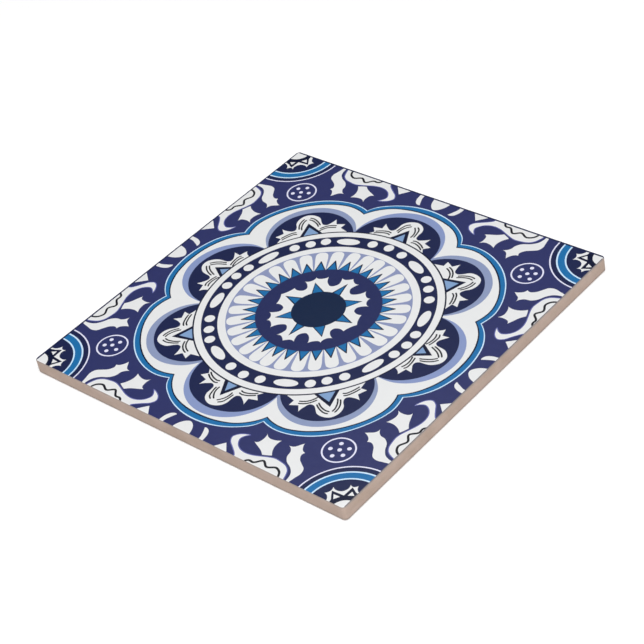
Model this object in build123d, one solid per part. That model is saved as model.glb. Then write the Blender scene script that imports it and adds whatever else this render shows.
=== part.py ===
"""Square glazed wall tile, dry-pressed in one piece, lying on its keyed back with the glazed face up.

The origin is the middle of the back. X and Y run along the sides and Z runs up through the glazed face.
"""

from build123d import *
import os

# Outer form, in millimetres
side = 150.0  # length and width of the tile
thickness = 6.0  # from the back's ribs to the glazed face
plan_corner_radius = 1.6  # rounding of the four upright corners
arris_radius = 0.4  # rounding where the glazed face turns down into the sides
back_bevel = 0.5  # bevel round the back, where the die parts

# Keyed back: a waffle of shallow pockets that the mortar grips, with flat ribs between them
pocket_size = 19.6  # width of a pocket at its mouth
rib_width = 3.6  # flat land between two pockets
back_margin = 4.5  # least plain land between the pockets and the tile's side
pocket_depth = 0.7
pocket_draft = 25.0  # slope of the pocket's walls from upright, in degrees, so that the tile leaves the die
pocket_corner_radius = 2.0  # rounding of a pocket's mouth in plan

pocket_pitch = pocket_size + rib_width
pockets_per_row = int((side - 2 * back_margin + rib_width) // pocket_pitch)

with BuildPart() as tile:
    with BuildSketch(Plane.XY):
        RectangleRounded(side, side, plan_corner_radius)
    extrude(amount=thickness)
    glazed_face = tile.faces().sort_by(Axis.Z)[-1]
    fillet(glazed_face.edges(), arris_radius)
    back_face = tile.faces().sort_by(Axis.Z)[0]
    chamfer(back_face.edges(), back_bevel)

    with BuildSketch(Plane.XY):
        with GridLocations(pocket_pitch, pocket_pitch, pockets_per_row, pockets_per_row):
            RectangleRounded(pocket_size, pocket_size, pocket_corner_radius)
    extrude(amount=pocket_depth, taper=pocket_draft, mode=Mode.SUBTRACT)

os.makedirs("parts", exist_ok=True)
tile.part.label = "tile"
export_step(tile.part, "parts/tile.step")
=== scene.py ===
import math

import bpy
from mathutils import Matrix, Quaternion, Vector
from mathutils.geometry import delaunay_2d_cdt


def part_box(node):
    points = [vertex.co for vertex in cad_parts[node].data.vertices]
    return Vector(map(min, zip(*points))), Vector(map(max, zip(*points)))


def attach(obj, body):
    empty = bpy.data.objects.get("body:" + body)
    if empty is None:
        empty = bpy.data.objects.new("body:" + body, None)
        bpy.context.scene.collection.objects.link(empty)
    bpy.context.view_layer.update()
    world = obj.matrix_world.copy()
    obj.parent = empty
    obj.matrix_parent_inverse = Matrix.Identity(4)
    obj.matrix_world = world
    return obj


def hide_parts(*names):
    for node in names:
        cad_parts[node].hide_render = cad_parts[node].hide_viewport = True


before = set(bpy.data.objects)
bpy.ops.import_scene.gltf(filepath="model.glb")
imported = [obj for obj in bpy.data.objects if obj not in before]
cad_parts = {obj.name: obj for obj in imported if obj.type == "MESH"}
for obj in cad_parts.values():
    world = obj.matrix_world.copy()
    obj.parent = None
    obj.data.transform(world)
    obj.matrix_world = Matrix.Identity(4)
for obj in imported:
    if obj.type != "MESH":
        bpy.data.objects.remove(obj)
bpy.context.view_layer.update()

MM = 0.001  # the sizes below are in millimetres and the scene is in metres

# Sizes of the tile
low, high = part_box("tile")
side = (high[0] - low[0]) / MM
thickness = (high[2] - low[2]) / MM
plan_corner_radius = 1.6
arris_radius = 0.4
back_bevel = 0.5
pocket_size = 19.6
rib_width = 3.6
back_margin = 4.5
pocket_depth = 0.7
pocket_draft = math.radians(25)
pocket_corner_radius = 2.0
pocket_pitch = pocket_size + rib_width
pockets_per_row = int((side - 2 * back_margin + rib_width) // pocket_pitch)

# The print is as wide as the tile, slightly askew, and lies a little towards the front corner
half_print = 75.0
print_stretch = Matrix(((0.9997, -0.0021), (-0.0008, 1.0020)))
print_shift = Vector((0.594, -0.492))
overrun = 0.6  # motifs that the print's edge cuts are drawn this far past it
creep = 0.05  # how far the dark colours creep over the light ones in the kiln

TIP = True  # marks a point where an outline turns sharply


# Outlines, in millimetres

def rounded_stretch(points, closed, step):
    """Points along a smooth curve through the given ones, made of parabolas that blend into each other."""
    count = len(points)
    if count == 2 and not closed:
        return points
    spans = range(count if closed else count - 1)
    chords = [points[(i + 1) % count] - points[i] for i in spans]
    lengths = [chord.length for chord in chords]
    slopes = [chord / length for chord, length in zip(chords, lengths)]
    tangents = []
    for i in range(count):
        if closed or 0 < i < count - 1:
            before, after = lengths[i - 1], lengths[i]
            tangents.append((slopes[i - 1] * after + slopes[i] * before) / (before + after))
        else:
            tangents.append(None)
    if not closed:
        tangents[0] = 2 * slopes[0] - tangents[1]
        tangents[-1] = 2 * slopes[-1] - tangents[-2]
    curve = []
    for i in spans:
        start, end, length = points[i], points[(i + 1) % count], lengths[i]
        leave, arrive = tangents[i] * length, tangents[(i + 1) % count] * length
        pieces = max(2, math.ceil(length / step))
        for s in (k / pieces for k in range(pieces)):
            bulge = s * (1 - s)
            blend = s * s * (3 - 2 * s)
            curve.append(start.lerp(end, blend) + bulge * ((1 - s) * leave - s * arrive))
    return curve if closed else curve + [points[-1]]


def evened(points, count):
    """The same curve with a set number of equal steps."""
    travelled = [0.0]
    for start, end in zip(points, points[1:]):
        travelled.append(travelled[-1] + (end - start).length)
    even, i = [], 0
    for k in range(count):
        wanted = travelled[-1] * k / count
        while travelled[i + 1] < wanted:
            i += 1
        share = (wanted - travelled[i]) / (travelled[i + 1] - travelled[i])
        even.append(points[i].lerp(points[i + 1], share))
    return even + [points[-1]]


def outline(points, step=0.8, steps_between_tips=None):
    """A closed outline: sharp at the points marked as tips, smooth through the others."""
    places = [Vector(point[:2]) for point in points]
    tips = [i for i, point in enumerate(points) if len(point) > 2]
    if not tips:
        return rounded_stretch(places, True, step)
    loop = []
    for tip, following in zip(tips, tips[1:] + [tips[0] + len(points)]):
        stretch = [places[i % len(points)] for i in range(tip, following + 1)]
        curve = rounded_stretch(stretch, False, step)
        loop += (evened(curve, steps_between_tips) if steps_between_tips else curve)[:-1]
    return loop


def both_sides(half, middle=0.0):
    """An outline's points from its half on the right of an upright middle line, first point topmost."""
    right = [(middle + point[0], *point[1:]) for point in half]
    left = [(middle - point[0], *point[1:]) for point in reversed(half) if point[0] > 0]
    return right + left


def all_round(quarter):
    """An outline's points from its first quarter, which runs from the Y axis to the X axis."""
    loop = []
    for x_sign, y_sign, run in ((1, 1, 1), (1, -1, -1), (-1, -1, 1), (-1, 1, -1)):
        turned = [(x_sign * point[0], y_sign * point[1], *point[2:]) for point in quarter[::run]]
        loop += turned[:-1]
    return loop


def between(inner, outer, share):
    """The outline that lies a share of the way from one outline to another."""
    return [a.lerp(b, share) for a, b in zip(inner, outer)]


def oval(centre, radius, other_radius=None, turn=0.0, step=0.8):
    """A circle, or an ellipse if it has a second radius."""
    least_points = 16
    other_radius = other_radius or radius
    count = max(least_points, math.ceil(math.tau * radius / step))
    spin = Matrix.Rotation(math.radians(turn), 2)
    ring = (math.tau * k / count for k in range(count))
    return [Vector(centre) + spin @ Vector((radius * math.cos(a), other_radius * math.sin(a))) for a in ring]


def brush_line(points, width, step=0.6):
    """The outline of a line of even width with round ends."""
    path = rounded_stretch([Vector(point) for point in points], False, step)
    left, right = [], []
    for i, place in enumerate(path):
        along = (path[min(i + 1, len(path) - 1)] - path[max(i - 1, 0)]).normalized()
        across = Vector((-along.y, along.x)) * width / 2
        left.append(place + across)
        right.append(place - across)
    turns = [Matrix.Rotation(-math.radians(angle), 2) for angle in (36, 72, 108, 144)]
    last_end = [path[-1] + turn @ (left[-1] - path[-1]) for turn in turns]
    first_end = [path[0] + turn @ (right[0] - path[0]) for turn in turns]
    return left + last_end + right[::-1] + first_end


def facing_up(loop):
    """The loop, counter-clockwise seen from above."""
    area = sum(a.x * b.y - b.x * a.y for a, b in zip(loop, loop[1:] + loop[:1]))
    return loop if area > 0 else loop[::-1]


def grown(loop, amount):
    """An outline moved outwards by an amount, or inwards if it is negative."""
    loop = facing_up([Vector(point) for point in loop])
    bluntest = 0.5  # sharp tips move no further than this lets them
    moved = []
    for before, place, after in zip(loop[-1:] + loop[:-1], loop, loop[1:] + loop[:1]):
        arrive, leave = (place - before).normalized(), (after - place).normalized()
        across = Vector((arrive.y + leave.y, -arrive.x - leave.x))
        moved.append(place + across * amount / max(across.length_squared / 2, bluntest))
    return moved


def rounded_square(half_width, radius, arc_steps=6):
    """A square with round corners, from half its width and the radius of its corners."""
    loop = []
    for corner in range(4):
        turn = math.radians(90 * corner)
        centre = Matrix.Rotation(turn, 2) @ Vector((half_width - radius, half_width - radius))
        for k in range(arc_steps + 1):
            angle = turn + math.pi / 2 * k / arc_steps
            loop.append(centre + radius * Vector((math.cos(angle), math.sin(angle))))
    return loop


# Nodes

def add_node(tree, kind, inputs=None, **settings):
    """Add a node. Its inputs take a value or another node's output, and settings are its own properties."""
    node = tree.nodes.new(kind)
    for name, value in settings.items():
        setattr(node, name, value)
    for name, value in (inputs or {}).items():
        if isinstance(value, bpy.types.NodeSocket):
            tree.links.new(value, node.inputs[name])
        else:
            node.inputs[name].default_value = value
    return node


def motif_tree():
    """A tree that sets out a flat motif at points, each with a turn and a flip of its own."""
    tree = bpy.data.node_groups.new("set out a motif", "GeometryNodeTree")
    for name, kind, way in (
        ("Places", "NodeSocketGeometry", "INPUT"),
        ("Motif", "NodeSocketObject", "INPUT"),
        ("Glaze", "NodeSocketMaterial", "INPUT"),
        ("Ornament", "NodeSocketGeometry", "OUTPUT"),
    ):
        tree.interface.new_socket(name, in_out=way, socket_type=kind)
    given = add_node(tree, "NodeGroupInput")
    motif = add_node(tree, "GeometryNodeObjectInfo", {"Object": given.outputs["Motif"]})
    turn = add_node(tree, "GeometryNodeInputNamedAttribute", {"Name": "turn"}, data_type="FLOAT")
    flip = add_node(tree, "GeometryNodeInputNamedAttribute", {"Name": "flip"}, data_type="FLOAT")
    rotation = add_node(tree, "ShaderNodeCombineXYZ", {"Z": turn.outputs["Attribute"]})
    scale = add_node(tree, "ShaderNodeCombineXYZ", {"X": 1.0, "Y": flip.outputs["Attribute"], "Z": 1.0})
    copies = add_node(tree, "GeometryNodeInstanceOnPoints", {
        "Points": given.outputs["Places"],
        "Instance": motif.outputs["Geometry"],
        "Rotation": rotation.outputs["Vector"],
        "Scale": scale.outputs["Vector"],
    })
    real = add_node(tree, "GeometryNodeRealizeInstances", {"Geometry": copies.outputs["Instances"]})
    glazed = add_node(tree, "GeometryNodeSetMaterial", {
        "Geometry": real.outputs["Geometry"], "Material": given.outputs["Glaze"],
    })
    add_node(tree, "NodeGroupOutput", {"Ornament": glazed.outputs["Geometry"]})
    return tree


def flat_mesh_object(name, points, faces=()):
    """A flat mesh in the scene, from points in its plane."""
    mesh = bpy.data.meshes.new(name)
    mesh.from_pydata([(x, y, 0.0) for x, y in points], [], faces)
    thing = bpy.data.objects.new(name, mesh)
    bpy.context.scene.collection.objects.link(thing)
    return thing


set_out_tree = motif_tree()


def set_out(outlines, places, material):
    """The outlines of a motif's copies. A place is x, y, a turn in degrees and a flip of 1 or -1."""
    corners, faces = [], []
    for loop in outlines:
        faces.append(range(len(corners), len(corners) + len(loop)))
        corners += loop
    motif = flat_mesh_object("motif", corners, faces)
    spots = flat_mesh_object("places", [place[:2] for place in places])
    for name, values in (("turn", [math.radians(p[2]) for p in places]), ("flip", [p[3] for p in places])):
        spots.data.attributes.new(name, "FLOAT", "POINT").data.foreach_set("value", values)
    modifier = spots.modifiers.new("set out", "NODES")
    modifier.node_group = set_out_tree
    for name, value in (("Motif", motif), ("Glaze", material)):
        modifier[set_out_tree.interface.items_tree[name].identifier] = value
    graph = bpy.context.evaluated_depsgraph_get()
    copies = bpy.data.meshes.new_from_object(spots.evaluated_get(graph))
    found = [[copies.vertices[i].co.xy for i in face.vertices] for face in copies.polygons]
    for thing in (spots, motif):
        mesh = thing.data
        bpy.data.objects.remove(thing)
        bpy.data.meshes.remove(mesh)
    bpy.data.meshes.remove(copies)
    return found


# Places for the motifs
once = [(0, 0, 0, 1)]
four_quarters = [(0, 0, 0, 1), (0, 0, 0, -1), (0, 0, 180, 1), (0, 0, 180, -1)]
top_and_bottom = [(0, 0, 0, 1), (0, 0, 180, 1)]
left_and_right = [(0, 0, 90, 1), (0, 0, 270, 1)]
four_diagonals = [(0, 0, turn - 45 * flip, flip) for _, _, turn, flip in four_quarters]

# The motifs along the edge don't lie quite evenly: each place has a small slip of its own
four_corners = [(0.13, 0.01, 0, 1), (0, 0.04, 0, -1), (0.13, -0.07, 180, 1), (0.04, -0.12, 180, -1)]
near_sides = [(0, -0.05, 0, 1), (0.2, 0.1, 270, 1)]
far_sides = [(-0.06, -0.2, 90, 1), (0.06, 0.08, 180, 1)]
eight_halves = [
    (0.04, -0.1, 0, 1), (-0.06, 0, 0, -1), (-0.08, 0.1, 180, 1), (0.02, 0.03, 180, -1),
    (0, -0.1, 90, 1), (0, -0.03, 90, -1), (0.06, 0.12, 270, 1), (0.12, 0.05, 270, -1),
]


def ring_places(radius, leans, slips):
    """Places round a ring, from the motifs' leans and slips in the first quarter, from the X axis on."""
    pitch = 90 / len(leans)
    places = []
    for k, (lean, slip) in enumerate(zip(leans, slips)):
        angle = pitch * (k + 0.5) + slip
        for mirrored, way in ((angle, 1), (180 - angle, -1), (180 + angle, 1), (360 - angle, -1)):
            spot = radius * Vector((math.cos(math.radians(mirrored)), math.sin(math.radians(mirrored))))
            places.append((*spot, mirrored - 90 + way * lean, 1))
    return places


# Materials

noise_low, noise_high = 0.3, 0.7  # most values of a noise lie between these


def linear(colour):
    """A colour as written in hex, turned into the values that light adds up in."""
    values = [int(colour[i:i + 2], 16) / 255 for i in (0, 2, 4)]
    return (*(v / 12.92 if v <= 0.04045 else ((v + 0.055) / 1.055) ** 2.4 for v in values), 1.0)


def new_material(name):
    """A material and its tree, with no nodes yet."""
    material = bpy.data.materials.new(name)
    material.use_nodes = True
    material.node_tree.nodes.clear()
    return material, material.node_tree


def glaze(name, thin, thick):
    """Colour printed into a glaze and fired: smooth and satin, faintly cloudy where it lies thick or thin."""
    cloud_size = 2.2 * MM
    ripple_size = 3.5 * MM
    ripple_height = 0.02 * MM
    material, tree = new_material(name)
    place = add_node(tree, "ShaderNodeTexCoord").outputs["Object"]
    cloud = add_node(tree, "ShaderNodeTexNoise", {"Vector": place, "Scale": 1 / cloud_size, "Detail": 3.0})
    colour = add_node(tree, "ShaderNodeMix", {
        "Factor": cloud.outputs["Fac"], "A": linear(thin), "B": linear(thick),
    }, data_type="RGBA")
    gloss = add_node(tree, "ShaderNodeMapRange", {
        "Value": cloud.outputs["Fac"], "From Min": noise_low, "From Max": noise_high,
        "To Min": 0.30, "To Max": 0.38,
    })
    ripple = add_node(tree, "ShaderNodeTexNoise", {"Vector": place, "Scale": 1 / ripple_size, "Detail": 1.0})
    relief = add_node(tree, "ShaderNodeBump", {
        "Height": ripple.outputs["Fac"], "Distance": ripple_height, "Strength": 0.6,
    })
    surface = add_node(tree, "ShaderNodeBsdfPrincipled", {
        "Base Color": colour.outputs["Result"], "Roughness": gloss.outputs["Result"],
        "Normal": relief.outputs["Normal"], "IOR": 1.5,
    })
    add_node(tree, "ShaderNodeOutputMaterial", {"Surface": surface.outputs["BSDF"]})
    return material


def biscuit(name, thin, thick, painted_foot_shade=0.0):
    """Bare pressed clay, fired: chalky, dull and grainy. Painted shade, as much as is given, darkens it along
    the foot of the sides.
    """
    cloud_size = 6 * MM
    grain_size = 0.5 * MM  # coarser than the pressed powder, so that it shows
    grain_height = 0.06 * MM
    grain_share = 0.35
    # painted shade darkens the foot of the sides below the first height and fades out by the second
    shaded_below = 0.5 * MM
    unshaded_above = 1.3 * MM
    shade_colour = linear("706B69")
    material, tree = new_material(name)
    place = add_node(tree, "ShaderNodeTexCoord").outputs["Object"]
    cloud = add_node(tree, "ShaderNodeTexNoise", {"Vector": place, "Scale": 1 / cloud_size, "Detail": 3.0})
    grain = add_node(tree, "ShaderNodeTexNoise", {"Vector": place, "Scale": 1 / grain_size, "Detail": 2.0})
    mixed = add_node(tree, "ShaderNodeMix", {
        "Factor": grain_share, "A": cloud.outputs["Fac"], "B": grain.outputs["Fac"],
    }, data_type="FLOAT")
    colour = add_node(tree, "ShaderNodeMix", {
        "Factor": mixed.outputs["Result"], "A": linear(thin), "B": linear(thick),
    }, data_type="RGBA")
    height = add_node(tree, "ShaderNodeSeparateXYZ", {"Vector": place})
    foot = add_node(tree, "ShaderNodeMapRange", {
        "Value": height.outputs["Z"], "From Min": shaded_below, "From Max": unshaded_above,
        "To Min": painted_foot_shade, "To Max": 0.0,
    })
    shaded = add_node(tree, "ShaderNodeMix", {
        "Factor": foot.outputs["Result"], "A": colour.outputs["Result"], "B": shade_colour,
    }, data_type="RGBA")
    chalk = add_node(tree, "ShaderNodeMapRange", {
        "Value": grain.outputs["Fac"], "From Min": noise_low, "From Max": noise_high,
        "To Min": 0.82, "To Max": 0.92,
    })
    relief = add_node(tree, "ShaderNodeBump", {
        "Height": grain.outputs["Fac"], "Distance": grain_height, "Strength": 0.8,
    })
    surface = add_node(tree, "ShaderNodeBsdfPrincipled", {
        "Base Color": shaded.outputs["Result"], "Roughness": chalk.outputs["Result"],
        "Normal": relief.outputs["Normal"], "IOR": 1.5,
    })
    add_node(tree, "ShaderNodeOutputMaterial", {"Surface": surface.outputs["BSDF"]})
    return material


white = glaze("white_glaze_fired", "E5E6E7", "E8E9E9")
indigo = glaze("indigo_ground_printed_fired", "2F3569", "2A2F60")
deep_indigo = glaze("deep_indigo_printed_fired", "252D5E", "202857")
navy = glaze("navy_printed_fired", "1A234D", "141E48")
deep_blue = glaze("deep_blue_disc_printed_fired", "0A2244", "031C3E")
cerulean = glaze("cerulean_printed_fired", "1D70AC", "166AA4")
periwinkle = glaze("periwinkle_printed_fired", "8999C6", "8595C2")
grey_periwinkle = glaze("grey_periwinkle_printed_fired", "8E9BBE", "8A97BA")
dusk_blue = glaze("dusk_blue_printed_fired", "8D97BC", "8993B8")
violet = glaze("violet_bleed_fired", "666AAB", "5F64A5")
light_blue = glaze("light_blue_printed_fired", "83A3CC", "7F9FC8")
pale_blue = glaze("pale_blue_line_printed_fired", "CFE9FE", "CAE5FC")
lavender = glaze("lavender_line_printed_fired", "E5E5F9", "E0E1F5")
outline_blue = glaze("dark_outline_printed_fired", "021033", "02092D")
line_black = glaze("black_line_printed_fired", "10111E", "090B19")
clay = biscuit("bare_biscuit_pressed", "A8917F", "CEB9AF")
# the sides' clay, darkened towards the foot as painted shade
side_clay_painted_foot_shade = biscuit("bare_biscuit_side_painted_foot_shade", "A8917F", "CEB9AF", painted_foot_shade=0.5)
# the near arris's clay, darkened as painted shade where it faces up into the light
arris_clay_painted_shade = biscuit("bare_biscuit_arris_painted_shade", "978A83", "B0A29B")
# a darker grey-brown clay for the strip along the right edge
darker_edge_clay = biscuit("bare_biscuit_darker_edge_strip", "6E686C", "86807F")
light_glazes = (white, lavender, pale_blue)  # these give way to the dark ones in the kiln
dark_glazes = (navy, deep_blue, outline_blue, line_black)

# The ornament: flat outlines in painting order, the later over the earlier
layers = []
PRINT = 1  # the number of the layer that every printed motif lies in


def paint(material, outlines, places=once):
    """Add the copies of a motif's outlines to the layers, with the kiln's creep and the print's skew."""
    move = creep * (material in dark_glazes) - creep * (material in light_glazes)
    outlines = [grown(loop, move) if move else loop for loop in outlines]
    copies = outlines if places is once else set_out(outlines, places, material)
    for loop in copies:
        layers.append((material, [print_shift + print_stretch @ Vector(point) for point in loop]))


def print_screen(motifs, slip):
    """Paint the motifs that one screen prints, which lies a little off the others."""
    first = len(layers)
    for paint_motif in motifs:
        paint_motif()
    for k in range(first, len(layers)):
        material, loop = layers[k]
        layers[k] = (material, [point + Vector(slip) for point in loop])


def ground():
    """The face's dark edge, painted shade where the face rolls away at the far sides, and the print's indigo
    ground, which stops short of it at the far sides.
    """
    # this navy edge is painted shade where the face rolls away at the far sides
    layers.append((navy, rounded_square(side / 2 - arris_radius, plan_corner_radius - arris_radius)))
    left, top = -74.7, 74.36
    past = half_print + 1
    paint(indigo, [[(left, -past), (past, -past), (past, top), (left, top)]])


def border():
    """Leaves and scrolls along the sides. Each is half of a motif that two tiles share."""
    edge = half_print + overrun
    half_oval = [
        (edge, 4.2, TIP), (73.4, 3.9), (71, 2.8), (69.4, 1.05), (69.05, 0), (69.4, -1.05), (71, -2.8),
        (73.4, -3.9), (edge, -4.2, TIP),
    ]
    slimmer = [(x - 0.08, 0.93 * y, *tip) for x, y, *tip in half_oval]  # as those at the far sides are
    paint(white, [outline(half_oval)], near_sides)
    paint(white, [outline(slimmer)], far_sides)
    sliver = outline([
        (68.9, 6.72, TIP), (68.72, 7.6), (69.32, 9), (71, 10.1), (73.4, 10.58), (edge, 10.58, TIP),
        (edge, 8.6, TIP), (73.4, 8.63), (71, 7.76),
    ])
    wedge = outline([(70.7, 18.72, TIP), (edge, 23.18, TIP), (edge, 14.82, TIP)])
    scroll = outline([
        (63.6, 23.6, TIP), (64.3, 21.5), (65.5, 19.62), (67.4, 18.52), (69.4, 19.5), (71, 21.7),
        (72.7, 24.1), (73.7, 25.2), (edge, 25.7, TIP), (edge, 48, TIP), (72.5, 47.2), (70.3, 46.1),
        (69, 44.4), (68.3, 41.6), (68.1, 38.5), (68.7, 36.4), (69.8, 33.6), (70.9, 30.5), (71.25, 27.5),
        (70.6, 24.7), (68.9, 22.5), (66.6, 21.5), (64.7, 22.4),
    ])
    star_leaf = outline([
        (60.2, 35.0, TIP), (62.6, 34.6), (65.4, 35.35), (67.5, 36.9, TIP), (68.2, 35.55), (69, 33.55, TIP),
        (67.8, 32.05), (66.2, 28.55), (65.45, 26.9, TIP), (64.9, 28.15), (63, 28.75), (60.15, 28.3, TIP),
        (61.4, 30.15), (61.3, 32.45),
    ])
    ribbon_leaf = outline([
        (57.2, 42.78, TIP), (59.13, 43.55), (60.55, 44.98), (60.72, 45.93, TIP), (62.1, 45.45),
        (64.1, 46.55), (65.5, 48.55), (66.93, 50.55), (69, 51.22), (71.7, 50.72), (edge, 49.92, TIP),
        (edge, 48.7, TIP), (72.7, 48.7), (70.35, 47.75), (68.75, 46.02), (67, 42.95), (65, 41.5),
        (62.9, 41.1), (60.8, 38.75, TIP), (60.4, 40.45), (58.3, 42.05),
    ])
    bleed = 0.28  # violet that has run out round the scrolls
    trim = 0.05  # taken off the scrolls' white
    paint(violet, [grown(scroll, bleed)], eight_halves)
    paint(white, [sliver, wedge, grown(scroll, -trim), star_leaf, ribbon_leaf], eight_halves)
    wave = brush_line([
        (75.4, 29.8), (73.18, 31.53), (73.32, 33.2), (70.92, 36.1), (72.62, 38.8), (71.26, 42.3),
        (72.36, 44.37), (75.4, 45.47),
    ], width=0.76)
    paint(line_black, [wave], eight_halves)


def corner_roundels():
    """A quarter of a roundel in each corner, with a star of leaves round its middle."""
    centre = (74.65, 74.4)
    for material, radius in (
        (lavender, 20.2), (navy, 19.55), (pale_blue, 17.72), (cerulean, 17.05), (pale_blue, 14.55),
        (navy, 13.85),
    ):
        paint(material, [oval(centre, radius)], four_corners)
    edge = half_print + overrun
    leaf_star = outline([
        (edge, edge, TIP), (66.7, edge, TIP), (66.3, 73.4), (65.0, 72.1), (63.85, 71.82, TIP),
        (64.95, 70.4), (64.7, 68.1, TIP), (66.5, 68.8), (68.6, 68.1), (69.5, 66.2), (69.0, 64.4, TIP),
        (70.4, 64.8), (71.7, 63.48, TIP), (72.8, 65.3), (edge, 66.0, TIP),
    ])
    paint(white, [leaf_star], four_corners)
    past = edge + overrun
    hollow = [
        (68.2, past), (67.85, 73.1), (66.72, 71.62), (65.55, 69.82), (70.3, 69.47), (70.45, 65.15),
        (72.8, 66.35), (past, 67.3), (past, past),
    ]
    paint(outline_blue, [hollow], four_corners)
    leaves = [
        [(68.35, 72.6), (66.85, 70.68), (69.68, 70.48)],
        [(71.32, 68.95), (73.5, 67.8), (71.52, 66.55)],
    ]
    paint(white, leaves, four_corners)
    paint(white, [oval((75.1, 75.05), 5.22)], four_corners)


def small_rings():
    """A ring of dots between each corner roundel and the rosette."""
    centre = (54.98, 53.75)
    paint(lavender, [oval(centre, 6.15)], four_quarters)
    paint(indigo, [oval(centre, 5.5)], four_quarters)
    dots = [(54.8, 57.05), (52.0, 54.65), (57.8, 55.0), (55.15, 53.55), (57.7, 51.45), (53.7, 50.9)]
    paint(lavender, [oval(dot, 0.85, step=0.4) for dot in dots], four_quarters)


def rosette_edge():
    """The eight-lobed edge of the rosette: a pale line, a cerulean band, a dark line and a white band."""
    white_edge = outline(all_round([
        (0, 64.82), (8, 64.07), (15.27, 61.47), (20.82, 56.55), (22.6, 53.7, TIP), (26, 54.77),
        (31, 55.07), (36.03, 53.77), (43.01, 50.01), (49.32, 44.1), (54.33, 36.24), (56.15, 29.3),
        (55.7, 24.7), (54.9, 22.2, TIP), (58.7, 18.8), (63.0, 11.4), (64.3, 6.8), (64.9, 0),
    ]), steps_between_tips=60)
    pale_edge = outline(all_round([
        (0, 68.07), (8, 67.05), (16.1, 63.62), (21.73, 58.96), (22.98, 56.47, TIP), (28.5, 57.6),
        (33, 57.3), (39.95, 55.1), (44.9, 52.2), (51.44, 45.92), (54.93, 40.6), (58.16, 32.7),
        (58.83, 29), (58.5, 25.3), (57.8, 22.35, TIP), (60.25, 20.45), (65.15, 13.85), (67.25, 7.3),
        (68.05, 0),
    ]), steps_between_tips=60)
    for material, share in ((pale_blue, 0.97), (cerulean, 0.79), (outline_blue, 0.16)):
        paint(material, [between(white_edge, pale_edge, share)])
    paint(white, [white_edge])


# Lobes and trefoils are drawn in a lobe's own frame: first across it, then outwards from the tile's middle

def lobes():
    """A navy field in each lobe with a periwinkle crescent outside it."""
    slanting_crescent = outline(both_sides([
        (0, 64.19), (4.98, 63.6), (9.57, 61.65), (13.58, 58.27), (15.9, 54.7), (17.4, 50.5), (17.5, 45),
        (17, 42, TIP),
    ], middle=-0.65))
    slanting_field = outline(both_sides([
        (0, 61.4), (4.2, 60.9), (8.2, 59.4), (12.3, 56.1), (15.1, 51.7), (16.4, 47.4), (16.6, 44.4),
        (16, 41, TIP),
    ], middle=-0.42))
    upright_crescent = outline(both_sides([
        (0, 63.98), (5, 63.32), (10, 61.2), (14.07, 57.87), (16.9, 53.65), (18.4, 49.4), (18.75, 45.5),
        (18.6, 42.5, TIP),
    ]))
    level_crescent = outline(both_sides([
        (0, 63.05), (5, 62.37), (10, 60.2), (14.07, 56.82), (16.85, 52.65), (18.2, 48.85), (18.45, 45),
        (18.3, 42, TIP),
    ]))
    upright_field = outline(both_sides([
        (0, 60.65), (4.5, 60.15), (8.5, 58.85), (12, 56.8), (14.9, 54), (16.8, 50.9), (18, 47.5),
        (18.4, 44.5), (18.2, 41.8, TIP),
    ]))
    level_field = outline(both_sides([
        (0, 59.95), (4.5, 59.4), (8.5, 57.95), (12, 55.65), (14.9, 52.65), (16.75, 49.65), (17.85, 46.5),
        (18.2, 43.5), (18, 41, TIP),
    ]))
    paint(grey_periwinkle, [slanting_crescent], four_diagonals)
    paint(periwinkle, [upright_crescent], top_and_bottom)
    paint(periwinkle, [level_crescent], left_and_right)
    for field, trim, places in (
        (slanting_field, 0.08, four_diagonals),
        (upright_field, 0.06, top_and_bottom),
        (level_field, 0.08, left_and_right),
    ):
        paint(navy, [grown(field, -trim)], places)


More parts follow.
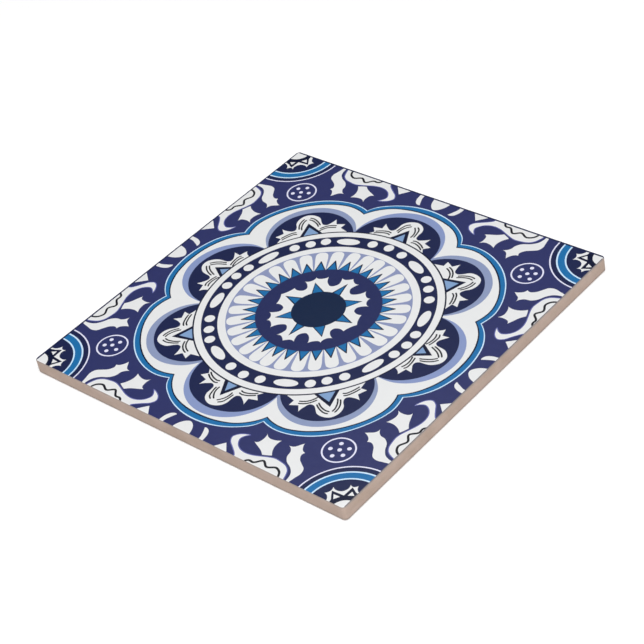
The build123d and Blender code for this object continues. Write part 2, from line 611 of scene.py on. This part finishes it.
def trefoils():
    """A white three-lobed leaf in each lobe, with a blue triangle at its foot and pairs of veins."""
    vein_width = 0.5
    foot = 44  # hidden by the rings painted later
    upright = outline(both_sides([
        (0, 59.25), (2.0, 58.8), (4.15, 57.25), (5.05, 55.2), (5.05, 53.2), (5.5, 51.2), (6.6, 50.55),
        (8.5, 51.35), (10.85, 53.2, TIP), (10.4, 50.1, TIP), (13.93, 49.1, TIP), (11.82, 46.98, TIP),
        (13.3, 45, TIP), (6, foot, TIP),
    ]))
    level = outline(both_sides([
        (0, 58.35), (1.5, 58.1), (3.35, 56.75), (4.6, 54.7), (4.9, 53), (5.15, 51), (5.9, 50.0),
        (7, 49.85), (9, 50.88), (10.8, 52.25, TIP), (10.45, 49.3, TIP), (13.85, 48.28, TIP),
        (12.2, 46.7), (11.7, 45.1, TIP), (6, foot, TIP),
    ]))
    slanting = outline([
        (-14.6, 44.7, TIP), (-12.45, 47.9, TIP), (-14.4, 49.8, TIP), (-11.05, 50.9, TIP),
        (-11.3, 54.1, TIP), (-9, 52.3), (-7.1, 51.5), (-5.9, 52.2), (-5.4, 54.2), (-5.2, 56.7),
        (-3.5, 58.9), (-0.6, 60.1), (2, 59.3), (3.8, 57.4), (4.5, 55.5), (4.5, 53.3), (5.3, 51.62),
        (6.2, 51.38), (8, 52.15), (10.1, 54, TIP), (9.85, 50.8, TIP), (13.2, 49.5, TIP),
        (11.12, 47.83, TIP), (13.1, 45, TIP), (6, foot, TIP), (-6, foot, TIP),
    ])
    upright_veins = [
        [(1.9, 56.8), (3.1, 55.8), (3.65, 54.2), (4.1, 51.4)],
        [(0.9, 56.1), (1.7, 55.25), (2.6, 53.9), (3.1, 50.75)],
        [(5.5, 49.35), (6.6, 49.6), (7.8, 49.35), (11.35, 47.5)],
        [(5.4, 48.15), (6.4, 48.4), (7.8, 48.15), (11.35, 46.3)],
    ]
    level_veins = [
        [(4.3, 50.8), (3.8, 52.5), (2.95, 54.2), (1.1, 56.2)],
        [(3.5, 50.05), (2.85, 51.8), (2.0, 53.5), (0.4, 55.3)],
        [(10.2, 48.3), (9.2, 48.85), (7.8, 48.9), (4.15, 48.3)],
        [(9.9, 47.1), (8.85, 47.6), (7.45, 47.8), (4.0, 47.1)],
    ]
    slanting_veins = [
        [(-1.5, 57.86), (-2.6, 57.1), (-3.6, 55.6), (-4.66, 52.4)],
        [(-0.9, 56.9), (-1.8, 56.26), (-2.8, 54.9), (-3.9, 51.7)],
        [(1.2, 57.7), (2, 56.9), (2.9, 55.5), (3.6, 52)],
        [(0.4, 57), (1.2, 56.2), (2, 54.7), (2.7, 51.3)],
        [(-10.8, 49.9), (-9.6, 50.4), (-8.4, 50.64), (-4.6, 49.9)],
        [(-10.4, 48.86), (-9.2, 49.3), (-8, 49.54), (-4.2, 48.6)],
        [(5, 50.1), (6, 50.2), (7.2, 49.9), (10.7, 48.2)],
        [(4.86, 48.9), (6, 49.1), (7.2, 48.76), (10.6, 47.06)],
    ]
    for leaf, dark, light, veins, places in (
        (upright, [(-4.15, 46.4), (4.15, 46.4), (0, 53.85)], [(-2.15, 47), (2.15, 47), (0, 51.2)],
         upright_veins, top_and_bottom),
        (level, [(-3.55, 46.6), (3.55, 46.6), (0, 52.65)], [(-2, 47.05), (2, 47.05), (0, 50.1)],
         level_veins, left_and_right),
        (slanting, [(-5.2, 46.5), (3.8, 46.5), (-0.3, 54.55)], [(-3.7, 47), (2.2, 47), (-0.4, 51.9)],
         slanting_veins, four_diagonals),
    ):
        if places is not four_diagonals:
            veins = veins + [[(-x, y) for x, y in points] for points in veins]
        paint(white, [leaf], places)
        paint(outline_blue, [dark], places)
        paint(light_blue, [light], places)
        paint(line_black, [brush_line(points, vein_width) for points in veins], places)


def bead_band():
    """Rings round the middle: a dark line, white, navy with white beads, and white again."""
    middle = (0, 0)
    for material, radius in ((outline_blue, 46.97), (white, 46.47), (navy, 43.68)):
        paint(material, [oval(middle, radius, step=1.2)])
    paint(white, [oval((0, 41.35), 2.06)], top_and_bottom)
    paint(white, [oval((0, 41.4), 2.02)], left_and_right)
    beads = [(7.1, 40.25), (24.45, 33.0), (28.7, 28.9), (32.8, 24.1), (40.6, 6.1)]
    paint(white, [oval(bead, 2.06) for bead in beads], four_quarters)
    long_beads = [oval((16.5, 37.05), 4.67, 1.95, -22), oval((37.85, 14.64), 4.6, 1.98, -76)]
    paint(white, long_beads, four_quarters)
    paint(white, [oval(middle, 37.82, 37.46, step=1.2)])


def sun():
    """Thirty-two rays, each before a white petal on periwinkle. They lean a little, as drawn by hand."""
    ring_radius = 23.4
    petal_leans = (-1.3, 5, 4.2, 5, 4.8, 3.8, 5.6, 3.6)
    ray_leans = (-2, 5.4, 3.4, 5, 3.4, 3.2, 4.8, 0)
    ray_slips = (0, 0, 0.35, 0.15, 0.3, 0.2, 0.45, 0.52)
    paint(dusk_blue, [oval((0, 0), 34.82, 34.45, step=1.2)])
    petal = outline(both_sides([
        (0, 10.95), (1.35, 10.7), (2.25, 9.7), (2.46, 8.1), (2.3, 4), (2.2, -1, TIP),
    ]))
    ray = [(-2.25, -0.3), (2.12, -0.3), (1.1, 2.6), (0.12, 5.45), (-0.12, 5.45), (-1.14, 2.6)]
    ray_core = [(-2.16, -0.8), (1.9, -0.8), (0, 4.5)]
    ray_places = ring_places(ring_radius, ray_leans, ray_slips)
    paint(white, [petal], ring_places(ring_radius, petal_leans, [0] * len(petal_leans)))
    paint(outline_blue, [ray], ray_places)
    paint(cerulean, [ray_core], ray_places)
    paint(deep_indigo, [oval((0, 0), 23.65, 23.5, step=1.0)])


def star():
    """The white star in the middle, with eight rays round a dark disc."""
    trim = 0.06
    white_star = outline(all_round([
        (0, 20.3, TIP), (1.02, 19.25), (2.6, 18.38), (4.3, 18.75, TIP), (3.35, 16.9), (3.03, 14.9),
        (4.95, 12.8), (7.15, 13.86), (8.68, 15.98), (9.0, 16.95, TIP), (10.62, 14.74), (12.12, 13.99),
        (13.2, 14.35, TIP), (12.97, 13.2), (13.85, 11.08), (15.6, 10.2, TIP), (13.7, 9.23),
        (12.18, 7.45), (12.4, 5.85), (14.4, 4.87), (16.4, 5.35, TIP), (16.52, 4.5), (17.48, 1.7),
        (18.55, 0, TIP),
    ]))
    paint(white, [grown(white_star, -trim)])
    for material, inset in ((outline_blue, 0.0), (cerulean, 0.4)):
        foot = 9.5 - inset
        upright = [(inset - 2.0, foot), (2.0 - inset, foot), (0, 17.0 - 4 * inset)]
        level = [(inset - 2.42, foot), (2.42 - inset, foot), (0, 16.3 - 3 * inset)]
        tip = 11.5 - 1.6 * inset
        slanting = [(4.96, 8.93 - inset), (8.46 - inset, 6.02), (tip - 0.04, tip + 0.02)]
        paint(material, [upright], top_and_bottom)
        paint(material, [level], left_and_right)
        paint(material, [slanting], four_quarters)
    paint(deep_blue, [oval((0, 0), 10.2)])


def bare_edge():
    """A narrow strip along the right side where the glaze has drawn back from the clay."""
    width = 0.55
    past = 1.0
    left, right = side / 2 - width, side / 2 + past
    bottom, top = -side / 2 - past, side / 2 - plan_corner_radius
    # the strip is a darker grey-brown than the bare clay
    layers.append((darker_edge_clay, [(left, bottom), (right, bottom), (right, top), (left, top)]))


# The tile

def divided(loops):
    """One flat layer of triangles: its points, and each triangle with the numbers of the loops it is in."""
    inside_only = 1
    too_close = 1e-4
    points, faces = [], []
    for loop in loops:
        faces.append(list(range(len(points), len(points) + len(loop))))
        points += facing_up([Vector(point) for point in loop])
    places, _, triangles, _, _, owners = delaunay_2d_cdt(points, [], faces, inside_only, too_close)
    return places, [(tri, set(owner)) for tri, owner in zip(triangles, owners)]


def rim(triangles):
    """The points round a layer of triangles, in order, counter-clockwise."""
    edges = {(tri[i - 1], tri[i]) for tri in triangles for i in range(3)}
    following = dict(edge for edge in edges if edge[::-1] not in edges)
    loop = [next(iter(following))]
    while following[loop[-1]] != loop[0]:
        loop.append(following[loop[-1]])
    return loop


def outward(place):
    """The direction straight out of the side from a point near it."""
    corner = side / 2 - plan_corner_radius
    over = Vector((max(abs(place.x) - corner, 0), max(abs(place.y) - corner, 0)))
    if min(over) == 0:
        over = Vector((1, 0)) if abs(place.x) > abs(place.y) else Vector((0, 1))
    over.normalize()
    return Vector((math.copysign(over.x, place.x), math.copysign(over.y, place.y)))


# Where the skin lies when it is laid out flat: the face large, the sides in strips, the back small

chart_gap = 0.01
face_share = 0.78
back_share = 0.18
strip_share = 0.045  # a strip for each side, wider than the side is tall
row_share = 0.005  # a row of the arris, side or bevel within its strip


def face_chart(place):
    """Where a point of the face lies on the flat map."""
    return [chart_gap + (value / side + 0.5) * face_share for value in place]


def side_chart(point, way, row):
    """Where a point of a side lies on the flat map: in the strip for the way it faces, above the face."""
    strip = int((math.degrees(math.atan2(way.y, way.x)) + 45) % 360 // 90)
    along = point.y if strip in (0, 2) else point.x
    right = chart_gap + (along / side + 0.5) * face_share
    up = 2 * chart_gap + face_share + strip * strip_share + row * row_share
    return [right, up]


def back_chart(point):
    """Where a point of the back lies on the flat map: seen from below, beside the face."""
    right = 2 * chart_gap + face_share + (0.5 - point.x / side) * back_share
    up = chart_gap + (point.y / side + 0.5) * back_share
    return [right, up]


class Skin:
    """The tile's skin as it is put together: its points, and each face with its coat and its flat place."""

    def __init__(self):
        self.points = []
        self.faces = []
        self.coats = []
        self.charts = []

    def add_face(self, corners, coat, chart):
        """Add a face by the numbers of its points."""
        self.faces.append(corners)
        self.coats.append(coat)
        self.charts.append(chart)


def printed_face(skin):
    """Add the face, each triangle in its topmost coat. Gives its rim and the coat along each edge."""
    places, triangles = divided([loop for _, loop in layers])
    triangles = [(tri, owners) for tri, owners in triangles if 0 in owners]
    skin.points += [Vector((*place, thickness)) for place in places]
    coat_at = {}
    for tri, owners in triangles:
        topmost = max(owners) if PRINT in owners else 0  # only the dark edge, in painted shade, lies outside the print
        coat = layers[topmost][0]
        skin.add_face(tri, coat, [face_chart(places[i]) for i in tri])
        coat_at.update({(tri[i - 1], tri[i]): coat for i in range(3)})
    return rim([tri for tri, _ in triangles]), coat_at


def arris_coat(way, row, face_coat):
    """What covers a row of the arris: navy as painted shade at the far sides, elsewhere the face's coat and
    then clay darkened as painted shade.
    """
    far_limit = 0.35  # how far an edge has to face the far sides to count as theirs
    if max(-way.x, way.y) > far_limit:
        # painted shade: the far arris rolls away into shadow
        return navy
    # the lower arris rows take clay darkened as painted shade
    return face_coat if row == 0 else arris_clay_painted_shade


def sides(skin, loop, coat_at):
    """Add the arris, the sides and the bevel, row by row down from the face's rim. Gives the lowest row."""
    arris = [math.radians(angle) for angle in (30, 60, 90)]
    rows = [(arris_radius * (1 - math.sin(a)), thickness - arris_radius * (1 - math.cos(a))) for a in arris]
    rows += [(0, thickness / 2), (0, back_bevel), (back_bevel, 0)]
    places = [skin.points[i].xy for i in loop]
    ways = [outward(place) for place in places]
    above = loop
    for row, (inset, height) in enumerate(rows):
        below = range(len(skin.points), len(skin.points) + len(loop))
        for place, way in zip(places, ways):
            skin.points.append(Vector((*(place + way * (arris_radius - inset)), height)))
        for k in range(len(loop)):
            corners = (above[k - 1], below[k - 1], below[k], above[k])
            coat = side_clay_painted_foot_shade
            if row < len(arris):
                coat = arris_coat(ways[k], row, coat_at[loop[k - 1], loop[k]])
            way = (ways[k - 1] + ways[k]).normalized()
            chart = [side_chart(skin.points[i], way, row + (i in corners[1:3])) for i in corners]
            skin.add_face(corners, coat, chart)
        above = below
    return above


def keyed_back(skin, edge):
    """Add the back inside its edge: ribs that the tile rests on, with drafted pockets between them."""
    floor_inset = pocket_depth * math.tan(pocket_draft)
    mouth = rounded_square(pocket_size / 2, pocket_corner_radius)
    pocket_floor = rounded_square(pocket_size / 2 - floor_inset, pocket_corner_radius - floor_inset)
    row = [pocket_pitch * (k - (pockets_per_row - 1) / 2) for k in range(pockets_per_row)]
    grid = [(x, y, 0, 1) for x in row for y in row]
    mouths = set_out([mouth], grid, clay)
    floors = set_out([pocket_floor], grid, clay)
    places, triangles = divided([[skin.points[i].xy for i in edge]] + mouths + floors)
    first_floor = 1 + len(mouths)
    raised = {i for tri, owners in triangles if max(owners) >= first_floor for i in tri}
    numbers = list(edge)
    for i in range(len(edge), len(places)):
        numbers.append(len(skin.points))
        skin.points.append(Vector((*places[i], pocket_depth if i in raised else 0)))
    for tri, _ in triangles:
        corners = tuple(numbers[i] for i in reversed(tri))
        skin.add_face(corners, clay, [back_chart(skin.points[i]) for i in corners])


def tile():
    """The whole tile as one closed skin: the printed face, the arris, the sides and the keyed back."""
    skin = Skin()
    loop, coat_at = printed_face(skin)
    first_side = len(skin.faces)
    edge = sides(skin, loop, coat_at)
    after_sides = len(skin.faces)
    keyed_back(skin, edge)

    used = sorted({i for corners in skin.faces for i in corners})
    number = {i: k for k, i in enumerate(used)}
    mesh = bpy.data.meshes.new("tile")
    faces = [[number[i] for i in corners] for corners in skin.faces]
    mesh.from_pydata([skin.points[i] * MM for i in used], [], faces)
    slots = list(dict.fromkeys(skin.coats))
    for coat in slots:
        mesh.materials.append(coat)
    mesh.polygons.foreach_set("material_index", [slots.index(coat) for coat in skin.coats])
    mesh.polygons.foreach_set("use_smooth", [first_side <= i < after_sides for i in range(len(faces))])
    sharp_from = math.radians(35)
    mesh.set_sharp_from_angle(angle=sharp_from)
    flat_map = mesh.uv_layers.new(name="OFBake")
    flat_map.uv.foreach_set("vector", [value for chart in skin.charts for spot in chart for value in spot])
    piece = bpy.data.objects.new("glazed_tile", mesh)
    bpy.context.scene.collection.objects.link(piece)
    return piece


ground()
print_screen((border, corner_roundels, small_rings), slip=(0.09, -0.07))
print_screen((rosette_edge, lobes, trefoils), slip=(0.02, 0))
print_screen((bead_band, sun, star), slip=(-0.06, 0.03))
bare_edge()
piece = tile()


# Studio: the floor and the lamps in metres, the camera in millimetres

def pale_floor():
    """A pale paper floor that keeps the tile's shadow, with a faint glow that only the camera sees."""
    reach = 0.9
    glow_strength = 0.15
    material, tree = new_material("pale_studio_floor")
    light_path = add_node(tree, "ShaderNodeLightPath")
    paper = add_node(tree, "ShaderNodeBsdfDiffuse", {"Color": linear("F2F2F2")})
    glow = add_node(tree, "ShaderNodeEmission", {"Color": (1, 1, 1, 1), "Strength": glow_strength})
    lift = add_node(tree, "ShaderNodeAddShader", {0: paper.outputs[0], 1: glow.outputs[0]})
    seen = add_node(tree, "ShaderNodeMixShader", {
        "Fac": light_path.outputs["Is Camera Ray"], 1: paper.outputs[0], 2: lift.outputs[0],
    })
    add_node(tree, "ShaderNodeOutputMaterial", {"Surface": seen.outputs[0]})
    corners = [(-reach, -reach), (reach, -reach), (reach, reach), (-reach, reach)]
    floor = flat_mesh_object("floor", corners, [(0, 1, 2, 3)])
    floor.data.materials.append(material)


def surroundings():
    """White for the camera and nearly dark for the tile, so that its glaze mirrors little but the lamps."""
    white_strength = 1.0
    dark_strength = 0.03
    world = bpy.data.worlds.new("soft_studio")
    bpy.context.scene.world = world
    world.use_nodes = True
    tree = world.node_tree
    tree.nodes.clear()
    light_path = add_node(tree, "ShaderNodeLightPath")
    sky = add_node(tree, "ShaderNodeBackground", {"Color": (1, 1, 1, 1), "Strength": dark_strength})
    backdrop = add_node(tree, "ShaderNodeBackground", {"Color": (1, 1, 1, 1), "Strength": white_strength})
    seen = add_node(tree, "ShaderNodeMixShader", {
        "Fac": light_path.outputs["Is Camera Ray"], 1: sky.outputs[0], 2: backdrop.outputs[0],
    })
    add_node(tree, "ShaderNodeOutputWorld", {"Surface": seen.outputs[0]})


def lamps():
    """Soft light from above and from the front, and a weak far lamp that the glaze mirrors."""
    for name, place, size, power in (
        ("overhead softbox", (0.6, -0.6, 3.0), 2.4, 76.5),
        ("front softbox", (1.84, -1.36, 2.53), 1.4, 57.0),
        ("far softbox", (-0.80, 0.86, 1.62), 0.5, 1.7),
    ):
        lamp = bpy.data.lights.new(name, "AREA")
        lamp.size = size
        lamp.energy = power
        stand = bpy.data.objects.new(name, lamp)
        stand.location = place
        stand.rotation_euler = (-Vector(place)).to_track_quat("-Z", "Y").to_euler()
        bpy.context.scene.collection.objects.link(stand)


def photo_camera():
    """The camera where the photo was taken from, as fitted to the outline of the tile."""
    across, along, above_face = 399.632, -360.634, 413.939
    azimuth = math.radians(-47.904)
    elevation = math.radians(38.000)
    roll = math.radians(-11.978)
    camera = bpy.data.cameras.new("camera")
    camera.lens = 104.04
    camera.sensor_width = 36.0
    camera.clip_start = 0.01
    tripod = bpy.data.objects.new("camera", camera)
    tripod.location = Vector((across, along, above_face + thickness)) * MM
    level = math.cos(elevation)
    look = Vector((math.sin(azimuth) * level, math.cos(azimuth) * level, -math.sin(elevation)))
    aim = look.to_track_quat("-Z", "Y") @ Quaternion((0, 0, 1), roll)
    tripod.rotation_euler = aim.to_euler()
    bpy.context.scene.collection.objects.link(tripod)
    bpy.context.scene.camera = tripod


bpy.context.scene.view_settings.view_transform = "Standard"
pale_floor()
surroundings()
lamps()
photo_camera()

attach(piece, "root")
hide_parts("tile")
